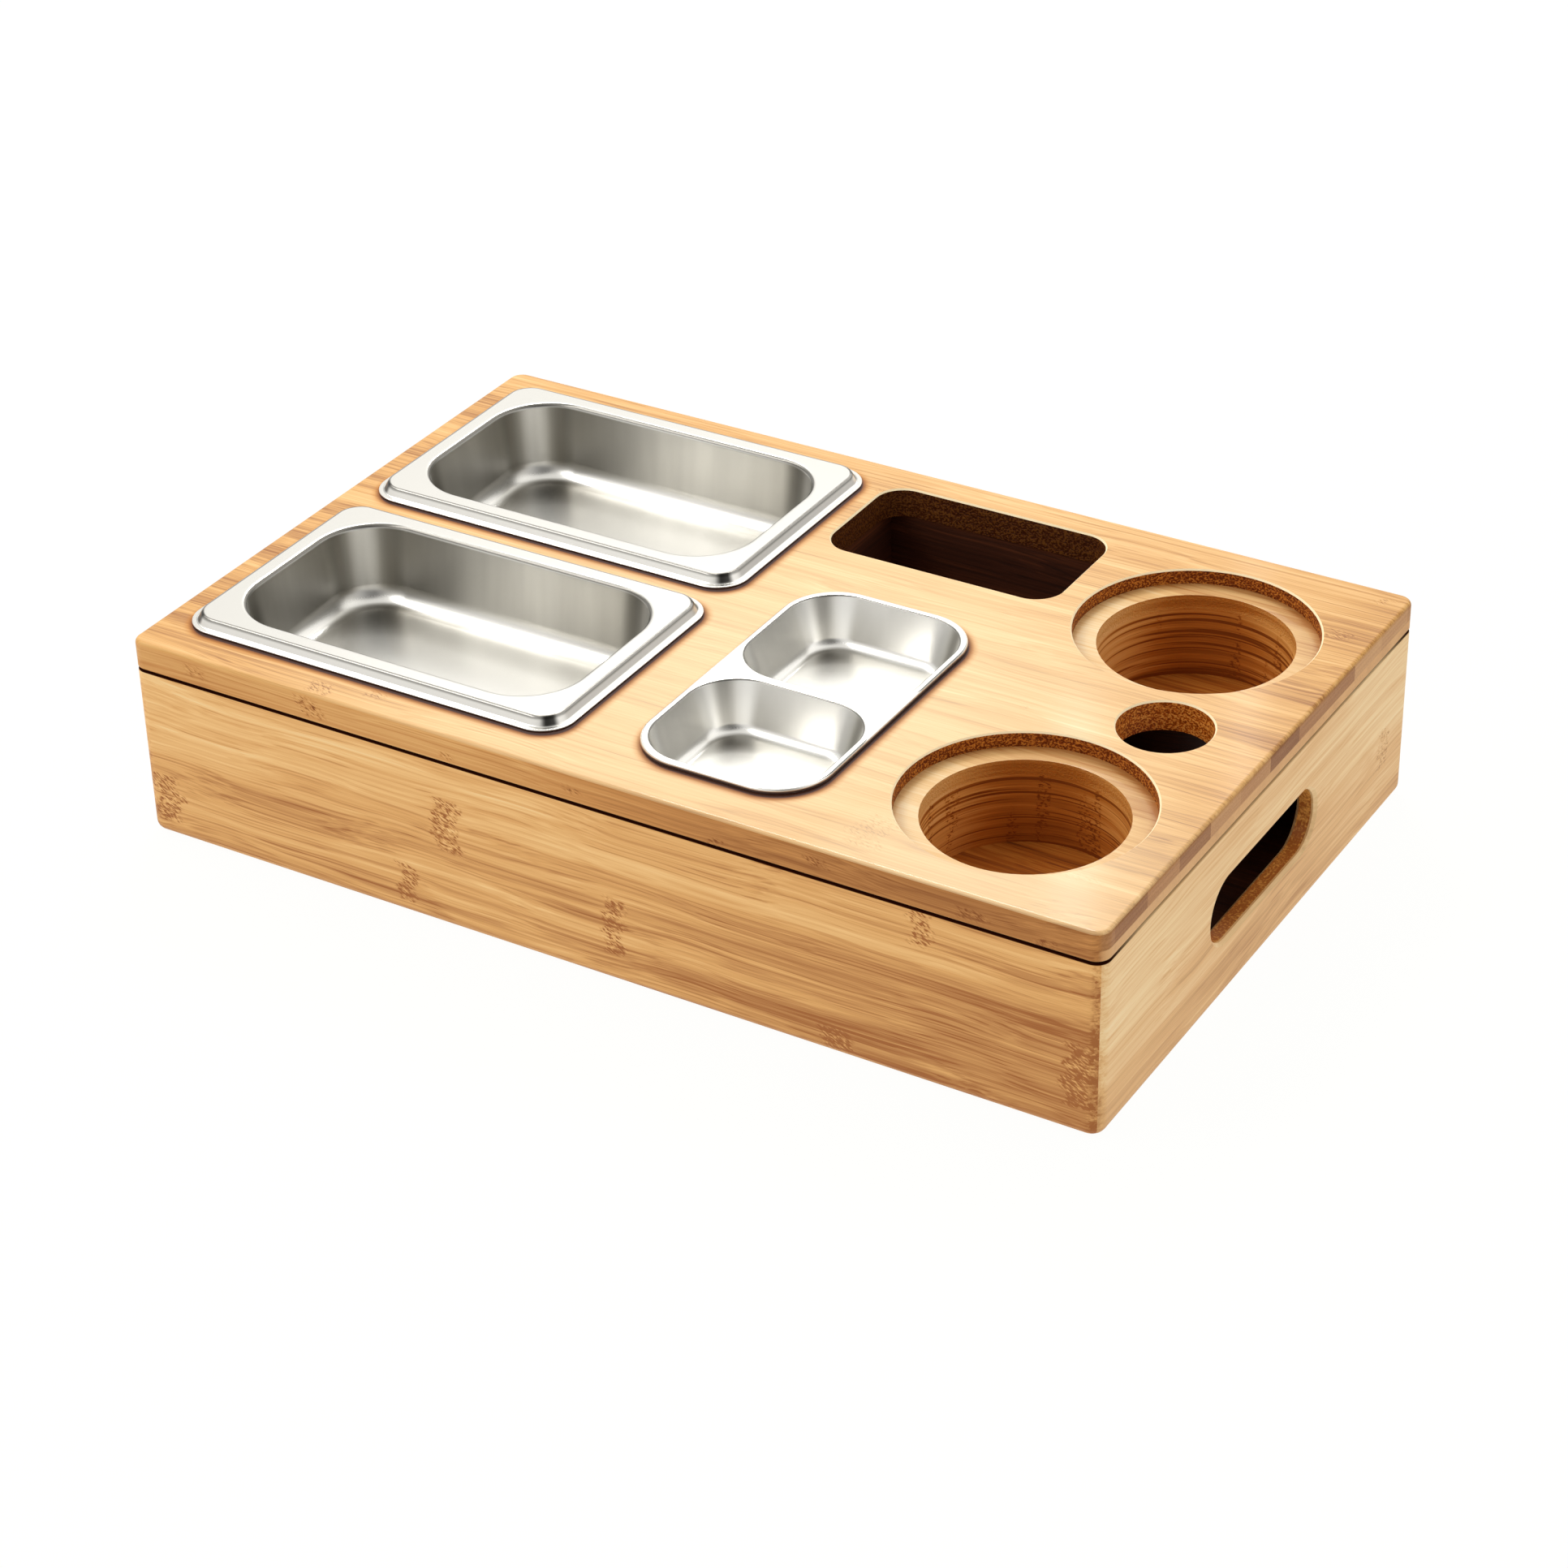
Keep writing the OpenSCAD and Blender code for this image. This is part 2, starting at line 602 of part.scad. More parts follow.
// Rim of the twin dish: flat web round and between the mouths, and an edge turned down onto the lid
module dish_rim() {
    plate_inset = dish_brim_bend + flat_lap;
    difference() {
        round_plate([dish_w - 2 * plate_inset, dish_d - 2 * plate_inset], dish_rim_r - plate_inset,
                    rim_h - dish_sheet, dish_sheet);
        for (i = [0, 1]) translate([0, compartment_ys[i], 0])
            brim_mouth([compartment_w, compartment_ds[i]], dish_bowl_r, dish_brim_bend, rim_h, dish_sheet);
    }
    carried_round([dish_w, dish_d], dish_rim_r)
        sheet_section([[dish_rim_r - plate_inset - flat_lap, rim_h], [dish_rim_r, rim_h], [dish_rim_r, 0]],
                      [dish_brim_bend], dish_sheet);
}

module twin_dish() {
    color(steel) translate([dish_x, dish_y, lid_top]) {
        for (i = [0, 1]) translate([0, compartment_ys[i], 0])
            bowl([compartment_w, compartment_ds[i]], dish_bowl_r, rim_h, -dish_depth, dish_lean,
                 dish_floor_bend, dish_brim_bend, dish_sheet);
        dish_rim();
    }
}

front_panel();
back_panel();
left_end_panel();
right_end_panel();
bottom_board();
corner_block_front_left();
corner_block_front_right();
corner_block_back_left();
corner_block_back_right();
lid_board();
front_cup_sleeve();
rear_cup_sleeve();
front_cup_floor();
rear_cup_floor();
pocket_front_wall();
pocket_back_wall();
pocket_left_wall();
pocket_right_wall();
pocket_floor();
front_cleat();
back_left_cleat();
back_right_cleat();
left_cleat();
right_cleat();
cleat_screws();
front_pan();
rear_pan();
twin_dish();
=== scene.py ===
import math

import bpy
from mathutils import Matrix, Vector
from mathutils.geometry import tessellate_polygon


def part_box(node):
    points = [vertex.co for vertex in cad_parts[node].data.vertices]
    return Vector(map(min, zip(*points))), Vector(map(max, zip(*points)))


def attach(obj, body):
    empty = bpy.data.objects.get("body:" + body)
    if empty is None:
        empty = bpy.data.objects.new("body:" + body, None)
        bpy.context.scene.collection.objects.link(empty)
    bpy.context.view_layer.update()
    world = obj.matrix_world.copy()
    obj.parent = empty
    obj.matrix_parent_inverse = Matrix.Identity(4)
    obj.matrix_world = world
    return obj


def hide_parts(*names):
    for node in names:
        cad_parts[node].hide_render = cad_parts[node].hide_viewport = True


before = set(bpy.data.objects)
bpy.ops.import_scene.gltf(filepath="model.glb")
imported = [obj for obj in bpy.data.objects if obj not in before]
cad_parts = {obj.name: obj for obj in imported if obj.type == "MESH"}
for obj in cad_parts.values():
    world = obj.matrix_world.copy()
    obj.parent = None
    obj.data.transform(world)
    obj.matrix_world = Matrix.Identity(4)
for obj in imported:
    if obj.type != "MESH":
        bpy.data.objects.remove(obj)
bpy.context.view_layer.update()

# Camera: a long lens, fitted to the corners of the box. It looks down on the tray from beyond its front
# right corner and is a little tilted.
camera_place = Vector((0.652091, -1.062911, 0.787904))
camera_azimuth, camera_elevation, camera_roll = (math.radians(a) for a in (31.429, 31.939, -1.338))
back = Vector((math.sin(camera_azimuth) * math.cos(camera_elevation),
               -math.cos(camera_azimuth) * math.cos(camera_elevation), math.sin(camera_elevation)))
level = Vector((math.cos(camera_azimuth), math.sin(camera_azimuth), 0))
upright = back.cross(level)
right = math.cos(camera_roll) * level + math.sin(camera_roll) * upright
up = back.cross(right)
lens = bpy.data.cameras.new("camera")
lens.lens, lens.sensor_width = 89.26, 36
camera = bpy.data.objects.new("camera", lens)
camera.matrix_world = Matrix.Translation(camera_place) @ Matrix((right, up, back)).transposed().to_4x4()
bpy.context.scene.collection.objects.link(camera)
bpy.context.scene.camera = camera
bpy.context.scene.view_settings.view_transform = "Standard"


# Box: four mitred panels of laminated bamboo, 8 mm thick, glued round a bottom board, with a glue block
# in each inner corner and a handle slot milled through each end. All are sanded and lacquered satin.
mm = 0.001
panel_thick = 8.0
stave_high = 23.5


def srgb(*shades):
    """Colour in linear light from its red, green and blue shades, which run from 0 to 255."""
    linear = [(c / 255 / 12.92 if c < 11 else ((c / 255 + 0.055) / 1.055) ** 2.4) for c in shades]
    return tuple(linear) + (1.0,)


class Port:
    """A value that runs through a finish: sums, products and comparisons of such values add Math nodes."""

    def __init__(self, finish, socket):
        self.finish, self.socket = finish, socket

    def also(self, name):
        return Port(self.finish, self.socket.node.outputs[name])

    def maths(self, operation, first, *rest):
        return self.finish.node("ShaderNodeMath", {"operation": operation}, dict(enumerate((first,) + rest)))

    def __add__(self, other):
        return self.maths("ADD", self, other)

    def __sub__(self, other):
        return self.maths("SUBTRACT", self, other)

    def __rsub__(self, other):
        return self.maths("SUBTRACT", other, self)

    def __mul__(self, other):
        return self.maths("MULTIPLY", self, other)

    def __truediv__(self, other):
        return self.maths("DIVIDE", self, other)

    def __pow__(self, other):
        return self.maths("POWER", self, other)

    def __gt__(self, other):
        return self.maths("GREATER_THAN", self, other)

    def __lt__(self, other):
        return self.maths("LESS_THAN", self, other)

    def __abs__(self):
        return self.maths("ABSOLUTE", self)

    def most(self, other):
        return self.maths("MAXIMUM", self, other)

    def least(self, other):
        return self.maths("MINIMUM", self, other)

    def floor(self):
        return self.maths("FLOOR", self)

    def angle(self, other):
        """Angle of the point (other, self) about the origin."""
        return self.maths("ARCTAN2", self, other)

    def fade(self, start, end):
        """0 at start, 1 at end, smooth between them."""
        return self.finish.node("ShaderNodeMapRange", {"interpolation_type": "SMOOTHSTEP"},
                                {"Value": self, "From Min": start, "From Max": end})

    __radd__, __rmul__ = __add__, __mul__


class Finish:
    """A node tree that is written as expressions: the finish of a surface, or the light of the studio."""

    def __init__(self, name, tree=None):
        if tree is None:
            self.material = bpy.data.materials.new(name)
            self.material.use_nodes = True
            tree = self.material.node_tree
        self.tree = tree
        tree.nodes.clear()

    def node(self, kind, settings=None, inputs=None, output=0):
        node = self.tree.nodes.new(kind)
        for name, value in (settings or {}).items():
            if name == "stops":
                ramp = node.color_ramp.elements
                while len(ramp) < len(value):
                    ramp.new(1.0)
                for stop, (place, colour) in zip(ramp, value):
                    stop.position, stop.color = place, colour
            else:
                setattr(node, name, value)
        for key, value in (inputs or {}).items():
            shown = [s for s in node.inputs if s.enabled]
            socket = shown[key] if isinstance(key, int) else next(s for s in shown if s.name == key)
            if isinstance(value, Port):
                self.tree.links.new(value.socket, socket)
            else:
                socket.default_value = value
        shown = [s for s in node.outputs if s.enabled]
        if not shown:
            return None
        return Port(self, shown[output] if isinstance(output, int) else node.outputs[output])

    def place(self):
        """Place on the tray in millimetres, in the frame of the whole tray."""
        spot = self.node("ShaderNodeTexCoord", output="Object")
        return self.node("ShaderNodeVectorMath", {"operation": "SCALE"}, {0: spot, "Scale": 1 / mm})

    def split(self, vector):
        x = self.node("ShaderNodeSeparateXYZ", inputs={0: vector})
        return x, x.also("Y"), x.also("Z")

    def facing(self):
        """How far the surface faces along X, Y and Z, from 0 to 1, whichever way."""
        spot = self.node("ShaderNodeTexCoord", output="Normal")
        return tuple(abs(c) for c in self.split(spot))

    def noise(self, vector, sizes, seed, detail=2.0, roughness=0.5, turn=(0, 0, 0)):
        """Cloudy grain about 0.5, stretched to sizes in millimetres along X, Y and Z, then turned."""
        spot = self.node("ShaderNodeMapping", {"vector_type": "TEXTURE"},
                         {"Vector": vector, "Location": (seed * 17.31, seed * 13.77, seed * 15.13),
                          "Rotation": tuple(math.radians(a) for a in turn), "Scale": sizes})
        return self.node("ShaderNodeTexNoise", {"noise_dimensions": "3D"},
                         {"Vector": spot, "Scale": 1.0, "Detail": detail, "Roughness": roughness})

    def mix(self, share, first, second):
        return self.node("ShaderNodeMix", {"data_type": "RGBA"}, {"Factor": share, "A": first, "B": second})

    def ramp(self, value, stops):
        return self.node("ShaderNodeValToRGB", {"stops": stops}, {0: value})

    def bump(self, height, depth):
        return self.node("ShaderNodeBump", inputs={"Height": height, "Distance": depth, "Strength": 1.0})

    def surface(self, gap=None, **sockets):
        """The finished material. Where gap is 1 the surface is painted shade: a dark diffuse for the inside
        of a narrow gap.
        """
        names = {key.replace("_", " ").title().replace("Ior", "IOR"): value for key, value in sockets.items()}
        shader = self.node("ShaderNodeBsdfPrincipled", inputs=names)
        if gap is not None:
            # Painted shade: a plain dark brown diffuse.
            dark = self.node("ShaderNodeBsdfDiffuse", inputs={"Color": srgb(44, 12, 4)})
            shader = self.node("ShaderNodeMixShader", inputs={0: gap, 1: shader, 2: dark})
        self.node("ShaderNodeOutputMaterial", inputs={"Surface": shader})
        return self.material


def cover(material, *nodes):
    """Gives CAD nodes one finish."""
    for name in nodes:
        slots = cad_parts[name].data.materials
        slots.clear()
        slots.append(material)


def sizes_along(run, length, width):
    """Grain sizes along X, Y and Z for fibres that run along one of them."""
    return tuple(length if axis == run else width for axis in "xyz")


def bamboo_grain(finish, spot, run, seed):
    """Tone of laminated bamboo, 0 dark to 1 light, and the height of its fibres."""
    drift = (finish.noise(spot, sizes_along(run, 80, 24), seed + 0.7, 1.0) - 0.5) * 8.0
    shift = {"x": (0, 1, 1), "y": (1, 0, 1), "z": (1, 1, 0)}[run]
    moved = finish.node("ShaderNodeCombineXYZ", inputs={i: drift * shift[i] if shift[i] else 0.0
                                                        for i in range(3)})
    spot = finish.node("ShaderNodeVectorMath", {"operation": "ADD"}, {0: spot, 1: moved})
    bands = finish.noise(spot, sizes_along(run, 240, 8), seed, 1.5)
    fibres = finish.noise(spot, sizes_along(run, 150, 1.1), seed + 1.3, 2.5, 0.6)
    streaks = finish.noise(spot, sizes_along(run, 210, 2.3), seed + 2.1, 1.5)
    lines = finish.noise(spot, sizes_along(run, 260, 1.3), seed + 4.4, 0.5)
    fine = finish.noise(spot, sizes_along(run, 18, 0.5), seed + 3.9, 1.0)
    crisp = finish.noise(spot, sizes_along(run, 110, 0.9), seed + 6.6, 1.5)
    tone = ((bands - 0.5) * 0.9 + (fibres - 0.5) * 0.6 + (fine - 0.5) * 0.25 + 0.56
            - streaks.fade(0.57, 0.70) * 0.12 - lines.fade(0.60, 0.67) * 0.16 - crisp.fade(0.60, 0.65) * 0.14
            + streaks.fade(0.40, 0.28) * 0.12 + lines.fade(0.36, 0.30) * 0.14)
    return tone, fibres * 0.7 + fine * 0.3


def node_marks(finish, spot, along, across, turn, seed, places):
    """Joints of the cane, above 0 dark and below 0 light: columns of short slanting flecks with a soft
    shade round them. Places give their middle, width, height and depth."""
    grain = finish.noise(spot, (2.4, 0.7, 0.7), seed + 5.0, 1.5, 0.6, turn)
    flecks = grain.fade(0.53, 0.64) - grain.fade(0.47, 0.38) * 0.3
    cloud = finish.noise(spot, (7, 3.5, 3.5), seed + 5.6, 1.0)
    sway = (finish.noise(spot, (400, 5.0, 5.0), seed + 6.3, 1.0) - 0.5) * 14.0
    total = None
    for u, v, wide, high, depth in places:
        mark = (abs(along - u + sway).fade(wide / 2 + 1.0, wide / 2 - 2.5)
                * abs(across - v).fade(high / 2 + 1.0, high / 2 - 2.0) * depth)
        total = mark if total is None else total.most(mark)
    return total * (flecks * 0.95 + cloud * 0.3)


panel_places = {
    "front_panel": [(-191, 17, 13, 20, 0.9), (-60.6, 44, 12, 22, 1.0), (-81, 14, 8, 17, 0.8),
                    (8.5, 24, 9, 24, 0.85), (132.8, 63, 9, 14, 0.8), (99, 7, 13, 9, 0.9),
                    (191.5, 24, 11, 26, 0.95)],
    "back_panel": [(150, 54, 10, 22, 0.9), (-22, 30, 9, 20, 0.8), (-140, 16, 11, 20, 0.9),
                   (70, 12, 9, 15, 0.7)],
    "left_end_panel": [(-78, 58, 9, 15, 0.6), (64, 13, 10, 20, 0.6)],
    "right_end_panel": [(104, 30, 9, 18, 0.35)],
}
panel_half = {"x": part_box("front_panel")[1].x / mm, "y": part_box("back_panel")[1].y / mm}
box_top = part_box("front_panel")[1].z / mm


def end_seam_shade(y):
    """Strength of the painted seam shade along the ends: weaker in their middle than at the corners."""
    return abs(y).fade(95.0, 124.0) * 0.7 + 0.3


def panel_finish(name, run, tones, seed):
    finish = Finish(name)
    spot = finish.place()
    x, y, z = finish.split(spot)
    along, across = (x, y) if run == "x" else (y, x)
    tone, height = bamboo_grain(finish, spot, run, seed)
    slant = (0, 28, 0) if run == "x" else (0, 0, 62)
    marks = node_marks(finish, spot, along, z, slant, seed, panel_places[name])
    stave_spot = finish.node("ShaderNodeCombineXYZ", inputs={2: (z / stave_high + seed).floor() * 11.3})
    stave = finish.noise(stave_spot, (1, 1, 1), seed + 8.0, 0.0)
    edge_grain = finish.noise(spot, (1.0, 1.0, 1.0), seed + 9.0, 1.0)
    # Painted shade: the last few mm before each vertical corner are a little darker, with a grainy edge.
    corner = abs(along).fade(panel_half[run] - 3.2, panel_half[run] - 1.5) * edge_grain.fade(0.25, 0.6)
    # Painted shade: each panel is darker towards its foot. The long panels also get darker towards their
    # right end, and the ends towards their middle.
    if run == "x":
        tone = tone * 0.78 + 0.08 - z.fade(50.0, 0.0) * 0.25 - along.fade(-60.0, 230.0) * 0.23
    else:
        tone = tone * 0.55 + 0.3 - z.fade(50.0, 0.0) * 0.44 - abs(along).fade(110.0, 20.0) * 0.1
    tone = tone + (stave - 0.5) * 0.3 - marks * 0.85 - corner * 0.1
    colour = finish.ramp(tone, tones)
    facing_x, _, facing_z = finish.facing()
    depth = panel_half["y" if run == "x" else "x"] - abs(across)
    # Painted shade: a thin band just under the top outer edge of each panel, where the lid meets the box,
    # turns dark.
    gap = z.fade(box_top - 0.75, box_top - 0.5) * facing_z.fade(0.999, 0.99) * depth.fade(3.0, 2.0)
    if run == "y":
        gap = gap * end_seam_shade(y)
        near_slot = (z > 20.0) * (z < 55.0) * (abs(y) < 50.0)
        pits = finish.noise(spot, (0.9, 0.9, 0.9), seed + 10.0, 1.0)
        milled = finish.ramp(pits + (tone - 0.5) * 0.8, [(0.3, srgb(170, 94, 32)), (0.7, srgb(244, 172, 82))])
        cut = (depth > 0.35) * (depth < panel_thick - 0.3) * (facing_x < 0.3) * near_slot
        colour = finish.mix(cut, colour, milled)
        # Painted highlight: a pale line on the eased edges round each handle slot.
        eased = (depth < 1.5) * (facing_x < 0.93) * (facing_x > 0.6) * near_slot
        colour = finish.mix(eased * 0.35, colour, srgb(255, 228, 176))
    # Painted shade: the inner faces of the panels, inside the closed box, turn dark brown.
    colour = finish.mix(depth.fade(panel_thick - 0.6, panel_thick - 0.1), colour, srgb(64, 30, 10))
    return finish.surface(gap, base_color=colour, roughness=0.46 + height * 0.1, specular_ior_level=0.28,
                          coat_weight=0.04, coat_roughness=0.15,
                          normal=finish.bump(height - marks * 0.5, 0.00012))


front_tones = [(0.0, srgb(166, 98, 38)), (0.35, srgb(228, 170, 100)), (0.6, srgb(246, 196, 128)),
               (1.0, srgb(255, 228, 172))]
end_tones = [(0.0, srgb(184, 126, 66)), (0.35, srgb(230, 180, 118)), (0.6, srgb(246, 210, 154)),
             (1.0, srgb(255, 236, 194))]
cover(panel_finish("front_panel", "x", front_tones, 1.0), "front_panel")
cover(panel_finish("back_panel", "x", front_tones, 4.0), "back_panel")
cover(panel_finish("left_end_panel", "y", end_tones, 7.0), "left_end_panel")
cover(panel_finish("right_end_panel", "y", end_tones, 9.0), "right_end_panel")


# Bottom board and glue blocks: sawn bamboo, oiled and darker than the panels. The board's very dark tones
# are painted shade for the inside of the closed box. The board's edges sit in grooves round the panels,
# and the blocks are glued into the corners on top of it.
def inner_finish(name, run, tones, seed):
    finish = Finish(name)
    tone, height = bamboo_grain(finish, finish.place(), run, seed)
    return finish.surface(base_color=finish.ramp(tone, tones), roughness=0.55 + height * 0.1,
                          specular_ior_level=0.3, normal=finish.bump(height, 0.00015))


oiled_tones = [(0.0, srgb(70, 34, 12)), (0.5, srgb(126, 72, 30)), (1.0, srgb(168, 108, 54))]
# Painted shade: very dark tones for the board inside the closed box.
board_shaded_tones = [(0.0, srgb(32, 14, 5)), (0.5, srgb(62, 30, 12)), (1.0, srgb(96, 52, 24))]
cover(inner_finish("bottom_board", "x", board_shaded_tones, 11.0), "bottom_board")
cover(inner_finish("corner_blocks", "z", oiled_tones, 13.0), "corner_block_front_left",
      "corner_block_front_right", "corner_block_back_left", "corner_block_back_right")

# Lid: one 12 mm laminated board with eased edges. Its openings are milled, so their walls show the cut
# ends of the fibres as fine specks, and its ends show the staves of two layers.
lid_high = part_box("lid_board")[1] / mm
lid_top = lid_high.z
edge_band, border, stave_wide = 3.0, 4.0, 24.0
well_low, well_high = (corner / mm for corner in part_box("front_cup_sleeve"))
well_x = (well_low.x + well_high.x) / 2
well_ys = [sum(corner.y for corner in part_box(name)) / 2 / mm
           for name in ("front_cup_sleeve", "rear_cup_sleeve")]
recess_r, well_r = 45.5, 36.5
hole_x, hole_r = lid_high.x - 40.5, 17.5
slot_x = sum(corner.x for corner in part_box("pocket_floor")) / 2 / mm
lid_places = [(103.5, -109, 15, 22, 0.42), (-118, -122, 10, 8, 0.8), (-97, -116, 9, 6, 0.7),
              (186, 88, 10, 7, 0.6), (192, 119, 6, 6, 0.7), (112, -12, 5, 3, 0.4), (60, -1, 8, 5, 0.3),
              (176, -100, 16, 5, 0.3), (-172, 110, 9, 9, 0.5), (-14, 105, 8, 6, 0.5)]
edge_places = [(-118, 77, 12, 8, 0.8), (-60, 74, 7, 3, 0.8), (-6, 76, 8, 3, 0.7), (52, 73, 7, 3, 0.7),
               (92, 77, 9, 4, 0.8), (150, 75, 12, 4, 0.8), (178, 73, 9, 3, 0.7), (-170, 77, 10, 5, 0.6)]


def axis_distance(x, y, middle_x, middle_y):
    """Distance from an upright axis."""
    return ((x - middle_x) ** 2.0 + (y - middle_y) ** 2.0) ** 0.5


def past_straights(x, y, middle, size, radius):
    """How far a place lies past the straight sides of a rectangle with round corners, along X and Y."""
    return [abs(place - centre) - (length / 2 - radius)
            for place, centre, length in zip((x, y), middle, size)]


def outside(x, y, *outline):
    """Distance from a rectangle with round corners, below 0 inside it."""
    past_x, past_y = past_straights(x, y, *outline)
    return (past_x.most(0.0) ** 2.0 + past_y.most(0.0) ** 2.0) ** 0.5 - outline[-1]


finish = Finish("lid_board")
spot = finish.place()
x, y, z = finish.split(spot)
facing_x, facing_y, facing_z = finish.facing()
tone, height = bamboo_grain(finish, spot, "x", 21.0)
marks = node_marks(finish, spot, x, y, (0, 0, -28), 21.0, lid_places)
flat = facing_z.fade(0.6, 0.9)
# Painted light: pale is a painted sheen over the middle front of the lid and near its right front, and
# far_out painted shade that darkens the lid away from its middle. The lid is also darker towards both ends.
pale = axis_distance(x, y * 1.2, 20.0, -50.0).fade(235.0, 15.0)
pale = pale.most(axis_distance(x, y, 140.0, -110.0).fade(120.0, 10.0))
far_out = axis_distance(x, y, 30.0, -40.0).fade(60.0, 240.0)
colour = finish.ramp(tone * 0.85 + 0.06 - marks * 0.6 - far_out * 0.14 - x.fade(-110.0, -190.0) * 0.06
                     - x.fade(165.0, 198.0) * 0.09,
                     [(0.0, srgb(152, 94, 36)), (0.35, srgb(208, 155, 86)), (0.6, srgb(228, 181, 117)),
                      (1.0, srgb(243, 211, 154))])
colour = finish.mix(pale * 0.44, colour, srgb(244, 221, 182))

edge_marks = node_marks(finish, spot, x, z, (0, 28, 0), 23.0, edge_places)
edge_colour = finish.ramp(tone * 0.6 + 0.2 - edge_marks * 0.6 - x.fade(-140.0, 200.0) * 0.34,
                          [(0.0, srgb(140, 80, 34)), (0.4, srgb(206, 144, 80)), (0.7, srgb(234, 182, 114)),
                           (1.0, srgb(248, 208, 150))])
long_edge = (1 - facing_z.fade(0.35, 0.75)) * facing_y.fade(0.4, 0.7) * (abs(y) > lid_high.y - edge_band)
colour = finish.mix(long_edge, colour, edge_colour)

stave_spot = finish.node("ShaderNodeCombineXYZ", inputs={1: (y / stave_wide).floor() * 9.7})
stave = finish.noise(stave_spot, (1, 1, 1), 3.0, 0.0)
specks = finish.noise(spot, (0.9, 0.8, 0.65), 31.0, 1.5, 0.6)
rings = finish.noise(spot, (40, 30, 1.1), 33.0, 2.0)
end_colour = finish.ramp((stave - 0.5) * 1.3 + (specks - 0.5) * 0.5 + (rings - 0.5) * 0.5 + 0.5,
                         [(0.0, srgb(138, 86, 44)), (0.5, srgb(180, 126, 76)), (1.0, srgb(212, 162, 108))])
layer = z.fade(box_top + 4.6, box_top + 5.2)
end_colour = finish.mix(layer, finish.mix(0.75, colour, srgb(220, 168, 112)), end_colour)
end_face = (1 - facing_z.fade(0.35, 0.75)) * facing_x.fade(0.5, 0.8) * (abs(x) > lid_high.x - edge_band)
colour = finish.mix(end_face, colour, end_colour)

from_well = axis_distance(x, y, well_x, well_ys[0]).least(axis_distance(x, y, well_x, well_ys[1]))
from_hole = axis_distance(x, y, hole_x, 0.0)
within = (abs(x) < lid_high.x - border) * (abs(y) < lid_high.y - border)
inside = within * (facing_z < 0.35)
pits = specks.fade(0.40, 0.60)
milled = pits * 0.5 + rings * 0.5
colour = finish.mix(inside, colour, finish.ramp(milled, [(0.15, srgb(90, 34, 3)), (0.5, srgb(148, 72, 14)),
                                                         (0.9, srgb(222, 144, 60))]))
colour = finish.mix(inside * (from_hole < hole_r + 1.0), colour,
                    finish.ramp(milled, [(0.15, srgb(122, 54, 6)), (0.5, srgb(198, 100, 16)),
                                         (0.9, srgb(250, 176, 84))]))
# Painted shade: the walls of the long slot turn near black.
colour = finish.mix(inside * (abs(x - slot_x) < 56.0) * (y > 52.0) * 0.72, colour, srgb(40, 14, 4))
ledge = flat * (from_well < recess_r + 0.2) * (z < lid_top - 3.0)
behind_well = y - well_ys[0] - (y > 0.0) * (well_ys[1] - well_ys[0])
# Painted shade: each ledge is darker towards its back, next to the recess wall and towards its right.
ledge_tone = (tone * 0.6 + 0.33 - behind_well.fade(0.0, recess_r) * 0.4
              - from_well.fade(recess_r - 4.0, recess_r) * 0.25 - (x - well_x).fade(10.0, 42.0) * 0.2)
ledge_colour = finish.ramp(ledge_tone, [(0.0, srgb(176, 116, 58)), (0.5, srgb(222, 180, 120)),
                                        (1.0, srgb(240, 220, 178))])
colour = finish.mix(ledge, colour, ledge_colour)
well_wall = inside * (from_well < well_r + 1.0)


def painted_well_light(x, y):
    """Painted light and shade on each well's wall: lighter on its near left and, less so, on its far right, a
    little darker elsewhere.
    """
    across = ((x - well_x) * 0.86 + (y - well_ys[0] - (y > 0.0) * (well_ys[1] - well_ys[0])) * 0.52) / well_r
    return across.fade(0.0, -0.9) * 0.46 + across.fade(0.4, 0.95) * 0.22 - 0.12


well_bands = finish.noise(spot, (150, 150, 2.6), 41.0, 2.0)
well_tones = [(0.1, srgb(124, 62, 12)), (0.45, srgb(186, 114, 40)), (0.75, srgb(232, 172, 92)),
              (1.0, srgb(250, 206, 134))]
# The wells' walls carry painted light and shade, lightest on their near left.
colour = finish.mix(well_wall, colour, finish.ramp(well_bands * 0.65 + 0.22 + painted_well_light(x, y), well_tones))
# Painted highlight: the eased edges of the lid's openings turn near white.
eased = within * (facing_z > 0.35) * (facing_z < 0.93) * (z > box_top + 4.0)
colour = finish.mix(eased, colour, srgb(255, 234, 190))

# Painted shadow on the lid beside the pans and the dish: a brown shade and a near-black contact line, moved
# by shade_x and shade_y so that they fall along the near and right sides.
past = None
shade_x, shade_y = 1.5, -1.8
for name, radius in (("front_pan", 13.0), ("rear_pan", 13.0), ("twin_dish", 21.5)):
    low, high = (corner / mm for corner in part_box(name))
    beyond = outside(x - shade_x, y - shade_y, (low + high) / 2, high - low, radius)
    past = beyond if past is None else past.least(beyond)
shadow_ring = past.fade(-3.4, -2.4) * flat
colour = finish.mix(past.fade(4.0, 0.0) * shadow_ring * 0.75, colour, srgb(184, 112, 28))
colour = finish.mix(past.fade(2.2, -0.6) * shadow_ring * 0.9, colour, srgb(104, 46, 4))
colour = finish.mix(past.fade(0.2, -0.5) * shadow_ring * 0.96, colour, srgb(48, 15, 2))
# Painted shade: a thin band along the lid's lower outer edge turns dark, less so along the middle of the
# ends.
gap = z.fade(box_top + 1.05, box_top + 0.8) * (1 - within) * (end_face * (end_seam_shade(y) - 1) + 1)
gloss = facing_z.fade(0.9, 0.98) * (1 - past.fade(4.0, 0.5) * shadow_ring) * 0.3
cover(finish.surface(gap, base_color=colour, roughness=0.42 + height * 0.12, specular_ior_level=0.15,
                     coat_weight=gloss, coat_roughness=0.1,
                     normal=finish.bump(height * (1 - inside) + pits * inside * 1.5 - marks * 0.4, 0.00010)),
      "lid_board")


